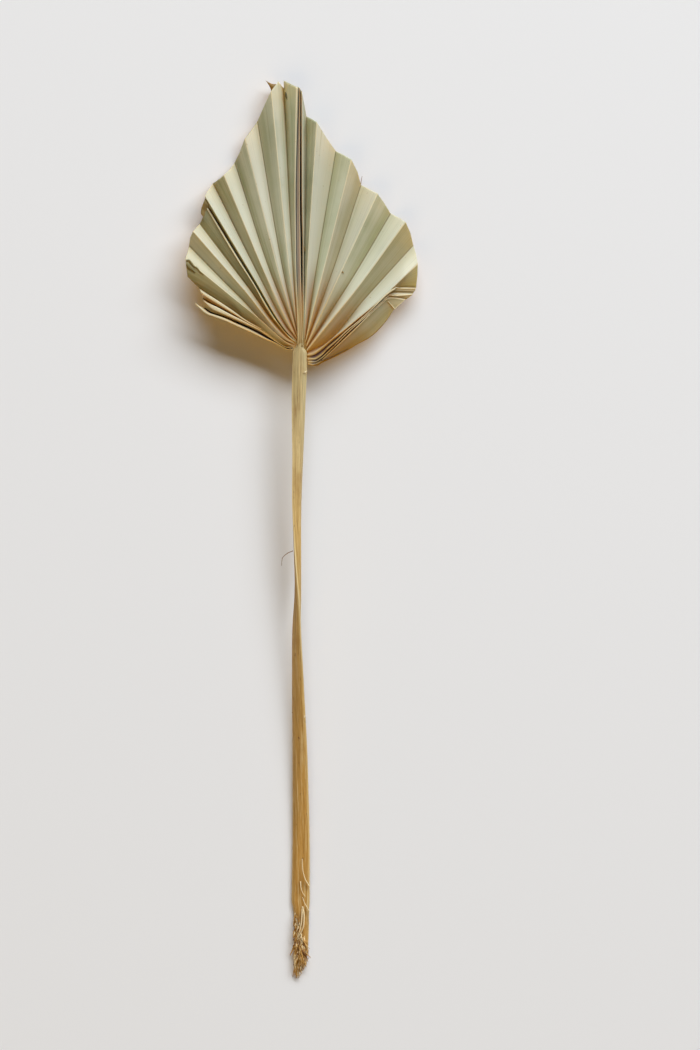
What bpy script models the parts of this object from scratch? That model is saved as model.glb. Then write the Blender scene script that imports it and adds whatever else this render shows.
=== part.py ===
"""A dried palm spear: a pleated fan leaf, cut to a spade shape, on its own flat stalk with one half twist.

Metres, +Z up. The spear lies on the ground plane z = 0, its stalk along Y and the tip of its fan towards +Y.
The origin is on the ground, under the middle of the spear's box.
"""

import math
import random

import bmesh
import bpy
import numpy as np

MM = 0.001
WELD = 0.00001

# Driving dimensions, in millimetres
HUB = np.array([0.0, 92.0])  # where the fan's folds come together, seen from above
HUB_HEIGHT = 14.0  # how high the leaf's root is held above the ground
INNER_RADIUS = 40.0  # the distance from the hub at which a fold's first azimuth is given
MOST_INNER_SHARE = 0.72  # or this share of a short fold's reach
BLADE_THICKNESS = 0.7
MOST_BLADE_HEIGHT = 2.4  # the blade's upright thickness where a pleat is steepest
STEEPEST_PLEAT = 3.4  # a pleat's depth over the plan width of its panel
FLATTEST_PLEAT = 0.35
ROOT_RUN = 1.0  # the distance from where the panels have no width to where the folds start
FOLD_ROWS = 12  # rows of vertices along each fold, from root to rim
FRAY_START, SHOULDER_START = -183.0, 88.4  # the stalk's plain length, along Y
FRAY_RINGS, STALK_RINGS, TONGUE_RINGS = 10, 44, 12
SECTION_SIDES = 16
RIDGED_SHARE = 0.6  # how much of the stalk's thickness lies on its ridged side
SHARP_ANGLE = 35.0  # degrees between faces that are not shaded as one
STRAND_SEED = 7
STRAND_COUNT = 15  # strands side by side across the frayed foot
STRANDS_FROM, STRANDS_TO = -3.7, 2.9  # the first and the last of them, along X
STRANDS_START = -208.0  # where they leave the foot, along Y
FOOT_END = -225.25  # the tip of the longest strand, along Y
LOWEST_STRAND = 0.5  # the least height of a strand's middle
STRAND_TAPER = 0.25  # the share of its thickness that a strand loses towards its tip

RIDGE, VALLEY, EDGE = 1, -1, 0

# Each fold of the fan, from the lowest on the left, over the tip, to the lowest on the right: its kind, its
# azimuth at INNER_RADIUS, its azimuth and reach at the rim, and the azimuth and reach of the cut rim between
# it and the next fold. Azimuths are in degrees anticlockwise from +X, reaches in millimetres from the hub.
FOLDS = (
    (RIDGE, 162.6, 161.6, 50.0, 160.2, 53.5),
    (VALLEY, 160.2, 158.9, 57.0, 158.1, 53.0),
    (RIDGE, 158.4, 157.4, 50.5, 156.2, 52.5),
    (VALLEY, 156.2, 155.2, 54.0, 154.0, 55.0),
    (RIDGE, 154.4, 152.9, 56.5, 151.7, 57.2),
    (VALLEY, 152.8, 150.6, 58.5, 149.0, 67.2),
    (RIDGE, 146.8, 143.3, 72.2, 141.0, 73.8),
    (VALLEY, 142.0, 138.5, 75.2, 136.0, 77.6),
    (RIDGE, 136.2, 133.7, 78.4, 131.8, 79.0),
    (VALLEY, 132.6, 129.9, 79.7, 127.5, 82.0),
    (RIDGE, 128.8, 125.0, 84.0, 124.5, 85.5),
    (VALLEY, 127.4, 124.0, 86.5, 123.5, 88.0),
    (RIDGE, 125.6, 123.0, 89.2, 120.6, 91.2),
    (VALLEY, 121.6, 118.9, 93.0, 117.4, 92.8),
    (RIDGE, 117.1, 114.5, 93.8, 112.2, 95.9),
    (VALLEY, 113.2, 110.1, 98.4, 107.8, 102.0),
    (RIDGE, 107.5, 105.4, 107.5, 103.2, 111.2),
    (VALLEY, 104.0, 101.2, 115.0, 99.0, 121.4),
    (RIDGE, 99.4, 96.9, 128.2, 95.1, 132.8),
    (VALLEY, 96.4, 94.3, 130.0, 93.9, 133.6),
    (RIDGE, 93.3, 91.4, 130.1, 90.9, 129.6),
    (VALLEY, 91.2, 90.5, 128.8, 90.2, 128.0),
    (RIDGE, 89.4, 89.9, 127.5, 89.4, 120.0),
    (VALLEY, 87.8, 88.9, 115.2, 87.6, 113.8),
    (RIDGE, 85.4, 86.2, 111.7, 83.0, 104.0),
    (VALLEY, 79.4, 80.2, 99.4, 77.8, 98.0),
    (RIDGE, 73.9, 75.1, 96.0, 71.8, 91.2),
    (VALLEY, 67.7, 69.8, 86.4, 66.6, 85.8),
    (RIDGE, 61.9, 63.6, 84.8, 60.4, 82.9),
    (VALLEY, 53.2, 56.4, 80.2, 53.2, 80.6),
    (RIDGE, 46.1, 50.1, 80.6, 46.0, 78.9),
    (VALLEY, 37.1, 42.3, 75.4, 39.0, 73.4),
    (RIDGE, 29.9, 35.4, 71.0, 30.0, 65.8),
    (VALLEY, 28.6, 27.4, 63.6, 26.4, 63.5),
    (RIDGE, 26.8, 25.3, 60.9, 24.7, 57.4),
    (EDGE, 16.6, 23.4, 53.0, 0.0, 0.0),
)

# Azimuth and reach of the bends in the lowest folds on the right, where the leaf's corner is crumpled
BENDS = {
    33: ((28.6, 40.0), (32.4, 54.0)),
    34: ((26.8, 40.0), (31.2, 52.0)),
    35: ((-2.5, 24.7), (15.2, 38.2), (21.4, 48.6)),
}

# Where some of the folds start, round the stalk's shoulders and tongue: which fold, and its offset from HUB
ROOTS = (
    (0, -4.75, -3.3),
    (3, -4.3, -1.9),
    (6, -3.75, -0.6),
    (9, -3.05, 0.5),
    (13, -2.5, 2.4),
    (17, -2.2, 6.4),
    (19, -1.9, 11.0),
    (21, -0.3, 16.8),
    (23, 1.6, 12.0),
    (25, 1.75, 6.0),
    (27, 1.45, 0.8),
    (29, 2.55, -2.0),
    (31, 2.9, -5.2),
    (35, 2.9, -10.6),
)

# Azimuth, the angle a panel of leaf spans when pressed flat, and the height of the fan's middle at the rim
FAN_FORM = (
    (10.0, 7.0, 8.5),
    (35.0, 8.3, 6.0),
    (50.0, 8.3, 3.9),
    (69.8, 8.0, 4.8),
    (86.0, 6.6, 5.6),
    (90.5, 4.4, 6.0),
    (101.0, 5.8, 4.8),
    (110.1, 6.3, 3.05),
    (125.0, 6.3, 7.0),
    (140.0, 6.6, 12.4),
    (165.0, 5.4, 17.0),
)

# The stalk from its tongue's tip to its frayed foot: y, x, height of its middle, width, thickness, twist
STALK_STATIONS = (
    (107.5, -0.2, 15.4, 1.1, 0.8, 0.0),
    (104.5, -0.2, 15.3, 2.2, 1.1, 0.0),
    (100.0, -0.2, 15.1, 3.0, 1.5, 0.0),
    (96.0, -0.25, 14.8, 3.1, 1.8, 0.0),
    (92.6, -0.7, 14.4, 2.9, 2.1, 0.0),
    (90.9, -1.1, 14.2, 4.0, 2.3, 0.0),
    (88.4, -1.0, 14.0, 6.8, 2.5, 0.0),
    (79.5, -1.1, 13.6, 7.1, 3.0, 4.0),
    (64.5, -1.6, 13.0, 7.3, 3.2, 19.0),
    (39.0, -2.0, 11.9, 7.3, 3.3, 40.0),
    (12.5, -2.5, 10.7, 7.5, 3.3, 50.0),
    (-7.5, -2.3, 9.7, 7.7, 3.3, 61.0),
    (-32.5, -2.3, 8.5, 8.0, 3.3, 90.0),
    (-48.5, -2.6, 7.7, 8.2, 3.3, 116.0),
    (-75.0, -2.1, 6.4, 8.4, 3.2, 135.0),
    (-115.0, -1.0, 4.4, 8.8, 3.1, 150.0),
    (-160.0, -0.5, 2.5, 9.0, 3.0, 165.0),
    (-185.0, -0.7, 1.7, 9.1, 2.9, 176.0),
    (-191.0, -0.4, 1.5, 7.9, 2.8, 180.0),
    (-202.0, -0.3, 1.4, 7.4, 2.7, 180.0),
    (-213.0, -0.45, 1.4, 6.8, 2.5, 180.0),
    (-217.0, -0.9, 1.5, 5.0, 2.2, 180.0),
    (-219.5, -1.3, 1.6, 3.4, 1.8, 180.0),
)

# Single strands that stand off the foot: points along each, and its thickness
LONE_STRANDS = (
    (((-2.6, -208.0, 1.5), (-2.6, -214.0, 1.7), (-2.4, -220.0, 1.5), (-2.2, FOOT_END, 1.2)), 1.0),
    (((0.3, -186.5, 2.2), (1.0, -193.5, 3.2), (0.0, -200.5, 3.3), (-2.1, -206.5, 2.2)), 1.1),
    (((-3.2, -205.0, 1.6), (-4.3, -208.8, 2.0), (-5.2, -211.2, 2.1), (-6.2, -213.2, 1.8)), 0.8),
)

LEAF_COLOUR = (0.60, 0.59, 0.41, 1.0)
STALK_COLOUR = (0.52, 0.37, 0.16, 1.0)


def clear_scene():
    """Empties the file of whatever it opened with."""
    for old in list(bpy.data.objects):
        bpy.data.objects.remove(old, do_unlink=True)


def collection_named(name):
    found = bpy.data.collections.new(name)
    bpy.context.scene.collection.children.link(found)
    return found


def material_named(name, colour, roughness):
    made = bpy.data.materials.new(name)
    made.use_nodes = True
    shader = made.node_tree.nodes["Principled BSDF"]
    shader.inputs["Base Color"].default_value = colour
    shader.inputs["Roughness"].default_value = roughness
    shader.inputs["Metallic"].default_value = 0.0
    return made


def smooth_through(places, values, wanted):
    """Values at the wanted places, on a cubic that passes through the given ones without overshooting."""
    places, values = np.asarray(places, float), np.asarray(values, float)
    steps = np.diff(places)
    rises = np.diff(values) / steps
    slopes = np.zeros(len(places))
    turning = rises[:-1] * rises[1:] > 0
    safe = np.where(turning, rises[:-1] + rises[1:], 1.0)
    slopes[1:-1] = np.where(turning, 2 * rises[:-1] * rises[1:] / safe, 0.0)
    slopes[0], slopes[-1] = rises[0], rises[-1]
    at = np.clip(np.searchsorted(places, wanted) - 1, 0, len(steps) - 1)
    t = (wanted - places[at]) / steps[at]
    h = steps[at]
    return (
        values[at] * (1 + 2 * t) * (1 - t) ** 2
        + slopes[at] * h * t * (1 - t) ** 2
        + values[at + 1] * t * t * (3 - 2 * t)
        + slopes[at + 1] * h * t * t * (t - 1)
    )


def polar(azimuth, reach):
    """The plan point at an azimuth and a distance from the hub."""
    angle = math.radians(azimuth)
    return HUB + reach * np.array([math.cos(angle), math.sin(angle)])


def fold_root(index):
    """Where a fold starts, on the line round the stalk's shoulders and tongue."""
    roots = np.array(ROOTS)
    return HUB + np.array([np.interp(index, roots[:, 0], roots[:, axis]) for axis in (1, 2)])


def fold_line(index):
    """FOLD_ROWS plan points along one fold, evenly spaced, through its root, its inner point and its rim."""
    _, inner_azimuth, rim_azimuth, reach, _, _ = FOLDS[index]
    bends = BENDS.get(index, ((inner_azimuth, min(INNER_RADIUS, MOST_INNER_SHARE * reach)),))
    through = np.array([fold_root(index)] + [polar(*bend) for bend in bends] + [polar(rim_azimuth, reach)])
    run = np.concatenate([[0.0], np.cumsum(np.linalg.norm(np.diff(through, axis=0), axis=1))])
    wanted = np.linspace(0.0, run[-1], FOLD_ROWS)
    return np.stack([smooth_through(run, through[:, axis], wanted) for axis in (0, 1)], axis=1)


def fan_lines():
    """Plan lines of every fold and of the middle of every panel: (which fold or panel, kind, points)."""
    folds = [fold_line(i) for i in range(len(FOLDS))]
    lines = []
    for i, (kind, _, _, _, azimuth_between, reach_between) in enumerate(FOLDS):
        lines.append((i, kind, folds[i]))
        if i + 1 == len(FOLDS):
            break
        middle = (folds[i] + folds[i + 1]) / 2
        tip = polar(azimuth_between, reach_between)
        share = np.linspace(0.0, 1.0, FOLD_ROWS)[:, None]
        middle += (tip - middle[-1]) * share**2
        lines.append((i, None, middle))
    return lines


def pleat_depths(folds):
    """How deep the pleats are along each fold: what a panel of leaf of fixed width needs in a plan gap."""
    form = np.array(FAN_FORM)
    depths = []
    for i, line in enumerate(folds):
        run = np.linalg.norm(line - line[0], axis=1) + ROOT_RUN
        beside = [folds[j] for j in (i - 1, i + 1) if 0 <= j < len(folds)]
        gap = np.min([np.linalg.norm(line - other, axis=1) for other in beside], axis=0)
        span = np.radians(np.interp(FOLDS[i][2], form[:, 0], form[:, 1])) * run
        free = np.sqrt(np.maximum(span**2 - gap**2, 0.0))
        depths.append(np.clip(free, FLATTEST_PLEAT * gap, STEEPEST_PLEAT * gap))
    return np.array(depths)


def middle_height(azimuth, share):
    """Height of the fan's middle surface, from its root to its rim: the fan slopes down to the ground."""
    form = np.array(FAN_FORM)
    rim = np.interp(azimuth, form[:, 0], form[:, 2])
    return HUB_HEIGHT + (rim - HUB_HEIGHT) * share


def fan_sheet():
    """The fan's upper skin as a grid of points, one column for each fold and panel middle, and its upright
    thickness at each: more where a panel is steep, so that the blade measured across stays the same."""
    lines = fan_lines()
    folds = [points for _, kind, points in lines if kind is not None]
    depths = pleat_depths(folds)
    share = np.linspace(0.0, 1.0, FOLD_ROWS)
    fold_heights = [
        middle_height(FOLDS[i][2], share) + FOLDS[i][0] * depths[i] / 2 for i in range(len(FOLDS))
    ]
    columns, uprights = [], []
    for i, kind, points in lines:
        beside = i + 1 if i + 1 < len(FOLDS) else i - 1
        height = fold_heights[i] if kind is not None else (fold_heights[i] + fold_heights[beside]) / 2
        rise = fold_heights[beside] - fold_heights[i]
        gap = np.linalg.norm(folds[beside] - folds[i], axis=1)
        upright = np.minimum(BLADE_THICKNESS * np.hypot(1.0, rise / gap), MOST_BLADE_HEIGHT)
        columns.append(np.column_stack([points, height + upright / 2]))
        uprights.append(upright)
    return np.array(columns), np.array(uprights)


def make_fan():
    """The pleated leaf: a sheet of triangles, extruded straight down by its upright thickness."""
    columns, uprights = fan_sheet()
    made = bmesh.new()
    thickness = made.verts.layers.float.new("upright_thickness")
    grid = []
    for column, upright in zip(columns, uprights):
        line = [made.verts.new(point * MM) for point in column]
        for vertex, value in zip(line, upright):
            vertex[thickness] = value * MM
        grid.append(line)
    for left, right in zip(grid, grid[1:]):
        for row in range(FOLD_ROWS - 1):
            made.faces.new((left[row], right[row], right[row + 1]))
            made.faces.new((left[row], right[row + 1], left[row + 1]))
    lowered = bmesh.ops.extrude_face_region(made, geom=made.faces[:])["geom"]
    for vertex in lowered:
        if isinstance(vertex, bmesh.types.BMVert):
            vertex.co.z -= vertex[thickness]
    bmesh.ops.recalc_face_normals(made, faces=made.faces[:])
    return made


def stalk_section(width, thickness):
    """The stalk cut across: sharp margins, a low ridge along one face and the other face nearly flat."""
    half = SECTION_SIDES // 2
    points = []
    for step in range(SECTION_SIDES):
        across = math.cos(math.pi * step / half)
        if step <= half:
            up = RIDGED_SHARE * (1 - abs(across) ** 1.4)
        else:
            up = -(1 - RIDGED_SHARE) * (1 - abs(across) ** 3.0)
        points.append((across * width / 2, up * thickness))
    return points


def make_stalk():
    """The stalk: its section carried along its line, turned by its twist, with both ends closed."""
    stations = np.array(STALK_STATIONS)[::-1]
    tongue_end, foot_end = stations[-1, 0], stations[0, 0]
    along = np.concatenate(
        [
            np.linspace(foot_end, FRAY_START, FRAY_RINGS, endpoint=False),
            np.linspace(FRAY_START, SHOULDER_START, STALK_RINGS, endpoint=False),
            np.linspace(SHOULDER_START, tongue_end, TONGUE_RINGS),
        ]
    )
    x, z, width, thickness, twist = (
        smooth_through(stations[:, 0], stations[:, column], along) for column in range(1, 6)
    )
    made = bmesh.new()
    rings = []
    for i, y in enumerate(along):
        turn = math.radians(twist[i])
        ring = []
        for across, up in stalk_section(width[i], thickness[i]):
            place = (
                x[i] + across * math.cos(turn) + up * math.sin(turn),
                y,
                z[i] - across * math.sin(turn) + up * math.cos(turn),
            )
            ring.append(made.verts.new([value * MM for value in place]))
        rings.append(ring)
    for first, second in zip(rings, rings[1:]):
        for i in range(SECTION_SIDES):
            j = (i + 1) % SECTION_SIDES
            made.faces.new((first[i], first[j], second[j], second[i]))
    made.faces.new(rings[0])
    made.faces.new(rings[-1])
    bmesh.ops.recalc_face_normals(made, faces=made.faces[:])
    return made


def object_of(name, made, material, into):
    """Turns a bmesh into an object with one material, in its collection."""
    mesh = bpy.data.meshes.new(name)
    made.to_mesh(mesh)
    made.free()
    mesh.materials.append(material)
    placed = bpy.data.objects.new(name, mesh)
    into.objects.link(placed)
    return placed


def strand_routes():
    """Strands of the stalk's frayed foot: (points, thickness), their roots sunk in the stalk."""
    draw = random.Random(STRAND_SEED)
    routes = list(LONE_STRANDS)
    for i in range(STRAND_COUNT):
        across = (i + draw.random()) / STRAND_COUNT
        start_x = STRANDS_FROM + (STRANDS_TO - STRANDS_FROM) * across
        start_y = STRANDS_START - draw.uniform(0.0, 4.0)
        shorter = 9.0 * max(0.0, across - 0.25)
        end_y = max(FOOT_END + 1.2 + shorter + draw.uniform(-1.0, 2.2), FOOT_END)
        drift = draw.uniform(-0.8, 0.7) + 0.3 * across
        lift = draw.uniform(-0.5, 0.9)
        start_z = draw.uniform(1.1, 1.8)
        points = []
        for share in (0.0, 0.4, 0.75, 1.0):
            height = max(start_z + lift * share**2, LOWEST_STRAND)
            points.append((start_x + drift * share**2, start_y + (end_y - start_y) * share, height))
        routes.append((points, draw.uniform(0.75, 1.0)))
    return [(np.array(points), thickness) for points, thickness in routes]


def strand_object(name, points, thickness, material, into):
    """One tapering strand, swept as a curve of eight sides and turned into a closed mesh."""
    curve = bpy.data.curves.new(name, "CURVE")
    curve.dimensions = "3D"
    curve.bevel_depth = thickness / 2 * MM
    curve.bevel_resolution = 2
    curve.use_fill_caps = True
    spline = curve.splines.new("POLY")
    spline.points.add(len(points) - 1)
    for i, point in enumerate(points):
        spline.points[i].co = (*(point * MM), 1.0)
        spline.points[i].radius = 1.0 - STRAND_TAPER * i / (len(points) - 1)
    swept = bpy.data.objects.new(name, curve)
    into.objects.link(swept)
    bpy.context.view_layer.update()
    graph = bpy.context.evaluated_depsgraph_get()
    mesh = bpy.data.meshes.new_from_object(swept.evaluated_get(graph))
    bpy.data.objects.remove(swept, do_unlink=True)
    welded = bmesh.new()
    welded.from_mesh(mesh)
    bmesh.ops.remove_doubles(welded, verts=welded.verts[:], dist=WELD)
    bmesh.ops.recalc_face_normals(welded, faces=welded.faces[:])
    return object_of(name, welded, material, into)


def fuse(body, repeats):
    """Joins a collection of small solids to the body they grow from, and removes them."""
    join = body.modifiers.new("Fuse", "BOOLEAN")
    join.operation = "UNION"
    join.operand_type = "COLLECTION"
    join.collection = repeats
    join.solver = "EXACT"
    join.use_self = True
    graph = bpy.context.evaluated_depsgraph_get()
    mesh = bpy.data.meshes.new_from_object(body.evaluated_get(graph))
    body.modifiers.remove(join)
    body.data = mesh
    for repeat in list(repeats.objects):
        bpy.data.objects.remove(repeat, do_unlink=True)
    bpy.data.collections.remove(repeats)


def flatten_underside(body):
    """Cuts off what lies below the ground, which leaves small flat spots to rest on."""
    cut = bmesh.new()
    cut.from_mesh(body.data)
    geometry = cut.verts[:] + cut.edges[:] + cut.faces[:]
    sliced = bmesh.ops.bisect_plane(
        cut, geom=geometry, dist=1e-7, plane_co=(0, 0, 0), plane_no=(0, 0, -1), clear_outer=True
    )
    border = [edge for edge in sliced["geom_cut"] if isinstance(edge, bmesh.types.BMEdge)]
    bmesh.ops.holes_fill(cut, edges=border, sides=0)
    bmesh.ops.recalc_face_normals(cut, faces=cut.faces[:])
    cut.to_mesh(body.data)
    cut.free()


def main():
    clear_scene()
    spear = collection_named("palm_spear")
    strands = collection_named("stalk_strands")
    leaf = material_named("dried_leaf", LEAF_COLOUR, 0.55)
    straw = material_named("dried_stalk", STALK_COLOUR, 0.6)

    fan = object_of("leaf_fan", make_fan(), leaf, spear)
    flatten_underside(fan)

    stalk = object_of("stalk", make_stalk(), straw, spear)
    for i, (points, thickness) in enumerate(strand_routes()):
        strand_object(f"strand_{i:02d}", points, thickness, straw, strands)
    fuse(stalk, strands)
    flatten_underside(stalk)
    stalk.data.shade_smooth()
    stalk.data.set_sharp_from_angle(angle=math.radians(SHARP_ANGLE))


main()
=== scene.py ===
# %% [markdown]
# # A dried palm spear
#
# A palm spear is one fan leaf, dried and trimmed to a spade shape, still on its own flat stalk. In this
# lesson the plain solids of the leaf and the stalk are dressed: the leaf gets its fine pleats, veins and
# fold lines, and the stalk its grain, its half twist and its frayed foot. The frame says where the solids
# lie, and every new piece is laid over them.

import math

import bpy
import numpy as np
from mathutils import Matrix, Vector


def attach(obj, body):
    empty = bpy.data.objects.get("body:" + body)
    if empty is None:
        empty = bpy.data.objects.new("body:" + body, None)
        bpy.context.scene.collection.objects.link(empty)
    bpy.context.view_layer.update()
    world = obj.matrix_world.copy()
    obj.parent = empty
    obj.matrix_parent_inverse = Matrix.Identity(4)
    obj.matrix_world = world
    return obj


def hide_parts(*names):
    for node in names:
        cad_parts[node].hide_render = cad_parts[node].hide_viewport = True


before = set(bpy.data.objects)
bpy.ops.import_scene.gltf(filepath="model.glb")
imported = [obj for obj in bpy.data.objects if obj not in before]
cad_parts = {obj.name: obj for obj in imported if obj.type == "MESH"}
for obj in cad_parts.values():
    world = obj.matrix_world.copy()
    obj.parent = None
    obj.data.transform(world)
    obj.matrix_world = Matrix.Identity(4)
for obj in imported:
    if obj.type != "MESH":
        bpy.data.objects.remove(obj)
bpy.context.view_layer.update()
MM = 0.001

# %% [markdown]
# ## Curves and unevenness
#
# Nothing on a dried leaf is straight, and nothing on it is random either: a fold drifts slowly, a margin
# waves. A few small functions are enough for the whole object. One draws a smooth curve through some known
# places. Another makes slow waves from a handful of sines with seeded phases, so that the result is the
# same each time.

# %% Curves and waves


def smooth_through(places, values, wanted):
    """A cubic through the values that never overshoots: a slope is the harmonic mean of those beside it."""
    places, values = np.asarray(places, float), np.asarray(values, float)
    steps = np.diff(places)
    rises = np.diff(values) / steps
    slopes = np.zeros(len(places))
    turning = rises[:-1] * rises[1:] > 0
    safe = np.where(turning, rises[:-1] + rises[1:], 1.0)
    slopes[1:-1] = np.where(turning, 2 * rises[:-1] * rises[1:] / safe, 0.0)
    slopes[0], slopes[-1] = rises[0], rises[-1]
    at = np.clip(np.searchsorted(places, wanted) - 1, 0, len(steps) - 1)
    h = steps[at]
    t = (wanted - places[at]) / h
    return (
        values[at] * (1 + 2 * t) * (1 - t) ** 2
        + slopes[at] * h * t * (1 - t) ** 2
        + values[at + 1] * t * t * (3 - 2 * t)
        + slopes[at + 1] * h * t * t * (t - 1)
    )


def path_lengths(points):
    """How far along a path each of its points lies: the running sum of the steps between them."""
    return np.concatenate([[0.0], np.cumsum(np.linalg.norm(np.diff(points, axis=0), axis=1))])


def smooth_path(points, wanted):
    """The points at the wanted distances along a smooth path through a few points."""
    run = path_lengths(points)
    return np.stack([smooth_through(run, values, wanted) for values in points.T], axis=1)


def fade(low, high, x):
    """0 below low and 1 above high, with the cubic 3t^2 - 2t^3 between them."""
    t = np.clip((x - low) / (high - low), 0.0, 1.0)
    return t * t * (3 - 2 * t)


def waves(x, seed, length, count=5):
    """Slow waves about 0, near 1 at most: a sum of sines whose lengths lie round the given one."""
    draw = np.random.default_rng(seed)
    total = np.zeros_like(x, dtype=float)
    for share in draw.uniform(0.45, 1.8, count):
        total += np.sin(2 * np.pi * (x / (length * share) + draw.uniform()))
    return total / count


print("waves run from", waves(np.linspace(0, 100, 500), 3, 20.0).min().round(2), "to about as much above 0")

# %% [markdown]
# ## From arrays to meshes
#
# Every piece below is worked out as arrays of points. A sheet of leaf is two skins, an upper and a lower
# one, with a band round their shared border, so that it is a closed thin solid like the real blade. Strands
# and the stalk are rings of points joined to the next ring.

# %% Mesh helpers


def piece_of(name, points, faces, material, attributes):
    """Puts points in millimetres and faces into a mesh, with its numbers, and lets it ride on the spear."""
    mesh = bpy.data.meshes.new(name)
    mesh.from_pydata((points * MM).tolist(), [], faces)
    for label, values in attributes.items():
        mesh.attributes.new(label, "FLOAT", "POINT").data.foreach_set("value", values.astype(np.float32))
    mesh.polygons.foreach_set("use_smooth", [True] * len(mesh.polygons))
    mesh.materials.append(material)
    mesh.update()
    made = bpy.data.objects.new(name, mesh)
    bpy.context.scene.collection.objects.link(made)
    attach(made, "root")
    print(name, "has", len(mesh.vertices), "points and", sum(len(f) - 2 for f in faces), "triangles")
    return made


def sheet_faces(columns, rows):
    """An upper grid whose points run down each column, a lower one turned over, and the band round both."""
    index = np.arange(columns * rows).reshape(columns, rows)
    quads = np.stack([index[:-1, :-1], index[1:, :-1], index[1:, 1:], index[:-1, 1:]], axis=-1)
    upper = quads.reshape(-1, 4)
    lower = upper[:, ::-1] + columns * rows
    ring = np.concatenate([index[:, 0], index[-1, 1:], index[-2::-1, -1], index[0, -2:0:-1]])
    after = np.roll(ring, -1)
    band = np.stack([after, ring, ring + columns * rows, after + columns * rows], axis=1)
    return np.concatenate([upper, lower, band])


def outwards(points, faces):
    """Turns all faces over where the solid they close has a negative volume."""
    tris = np.concatenate([faces[:, [0, 1, 2]], faces[:, [0, 2, 3]]])
    volume = np.linalg.det(points[tris]).sum()
    return faces if volume > 0 else faces[:, ::-1]


print("a sheet of 3 by 3 points closes with", len(sheet_faces(3, 3)), "faces")

# %% [markdown]
# ## Writing shaders as sums
#
# A procedural material is mostly arithmetic: a mask times a colour, one pattern added to another. The
# class below wraps the output of a node, so that masks can be written as Python sums. Colours never go
# through a Math node, which would turn them grey: they are blended in a Mix node.

# %% The wire class


class Wire:
    """One output of a node. Sums, products and shares of wires and numbers become Math nodes."""

    def __init__(self, tree, made, output=0):
        self.tree, self.made, self.socket = tree, made, made.outputs[output]

    @classmethod
    def node(cls, tree, kind, settings=None, inputs=None, output=0):
        """Adds any node: its settings first, then the values or wires of its sockets."""
        made = tree.nodes.new(kind)
        for name, value in (settings or {}).items():
            setattr(made, name, value)
        for name, value in (inputs or {}).items():
            if isinstance(value, Wire):
                tree.links.new(value.socket, made.inputs[name])
            else:
                made.inputs[name].default_value = value
        return cls(tree, made, output)

    def math(self, operation, first, second):
        inputs = {0: first, 1: second}
        return Wire.node(self.tree, "ShaderNodeMath", {"operation": operation}, inputs)

    def __add__(self, other):
        return self.math("ADD", self, other)

    def __sub__(self, other):
        return self.math("SUBTRACT", self, other)

    def __rsub__(self, other):
        return self.math("SUBTRACT", other, self)

    def __mul__(self, other):
        return self.math("MULTIPLY", self, other)

    def __truediv__(self, other):
        return self.math("DIVIDE", self, other)

    __radd__ = __add__

    def between(self, low, high):
        """0 where this is low, 1 where it is high, smooth between; the other way round if low > high."""
        settings = {"interpolation_type": "SMOOTHSTEP"}
        flip = low > high
        inputs = {"Value": self, "From Min": min(low, high), "From Max": max(low, high)}
        inputs.update({"To Min": float(flip), "To Max": float(not flip)})
        return Wire.node(self.tree, "ShaderNodeMapRange", settings, inputs)


def colour(red, green, blue):
    """A colour given as it looks on a screen, 0 to 255, as the linear values that shaders use."""
    share = np.array([red, green, blue]) / 255.0
    linear = np.where(share <= 0.04045, share / 12.92, ((share + 0.055) / 1.055) ** 2.4)
    return tuple(linear.tolist())


def blend(tree, factor, first, second):
    """A Mix node on two colours."""
    a = first if isinstance(first, Wire) else (*first, 1.0)
    b = second if isinstance(second, Wire) else (*second, 1.0)
    return Wire.node(tree, "ShaderNodeMix", {"data_type": "RGBA"}, {0: factor, 6: a, 7: b}, output=2)


def coats(tree, base, layers):
    """One coat of colour after another over a base: each is a share, and a screen colour or a wire."""
    for share, shade in layers:
        base = blend(tree, share, base, shade if isinstance(shade, Wire) else colour(*shade))
    return base


def noise(tree, vector, scale, detail=2.0, roughness=0.5):
    inputs = {"Vector": vector, "Scale": scale, "Detail": detail, "Roughness": roughness}
    return Wire.node(tree, "ShaderNodeTexNoise", None, inputs)


def stretched(tree, vector, sizes):
    """A vector with each of its parts multiplied, so that a pattern is long one way and fine the other."""
    return Wire.node(tree, "ShaderNodeMapping", {"vector_type": "POINT"}, {"Vector": vector, "Scale": sizes})


def start_material(name):
    """A material with one Principled shader, and its node tree."""
    made = bpy.data.materials.new(name)
    made.use_nodes = True
    tree = made.node_tree
    return made, tree, tree.nodes["Principled BSDF"]


def number_of(tree, label):
    """One of the numbers that a mesh carries for its shader, point by point."""
    settings = {"attribute_type": "GEOMETRY", "attribute_name": label}
    return Wire.node(tree, "ShaderNodeAttribute", settings, output="Fac")


def feed(tree, shader, name, wire):
    tree.links.new(wire.socket, shader.inputs[name])


print("cream on screen is", [round(v, 3) for v in colour(225, 222, 190)], "in light")

# %% [markdown]
# ## The dried leaf
#
# The leaf's colour comes from how it dried. Panels are a grey green that has faded to cream. On top of that,
# panels that face the lamp are painted paler and those turned away darker, as painted light and shade. Fine
# veins run from root to rim and show as pale and darker lines under half a millimetre apart. Each fold that
# stands up is a cream line, because its skin was stretched there, and each fold that lies low gets painted
# shade, olive brown, darkest in the deep ones. Towards the root everything turns gold, then orange brown.
#
# The pattern has to follow the leaf and not the world, so the mesh carries its own numbers: how far a
# point lies from the nearest ridge and valley, how far along the leaf, and where across it in vein widths.
# A dry leaf also lets light through, so a translucent shader is mixed in, which warms the shadow below.

# %% Leaf material
MEASURES = ("ridge_mm", "valley_mm", "along_mm", "rim_mm", "vein")
SHARES = ("faded", "gold", "back", "deep", "plum", "straw", "under", "dense")


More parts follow.
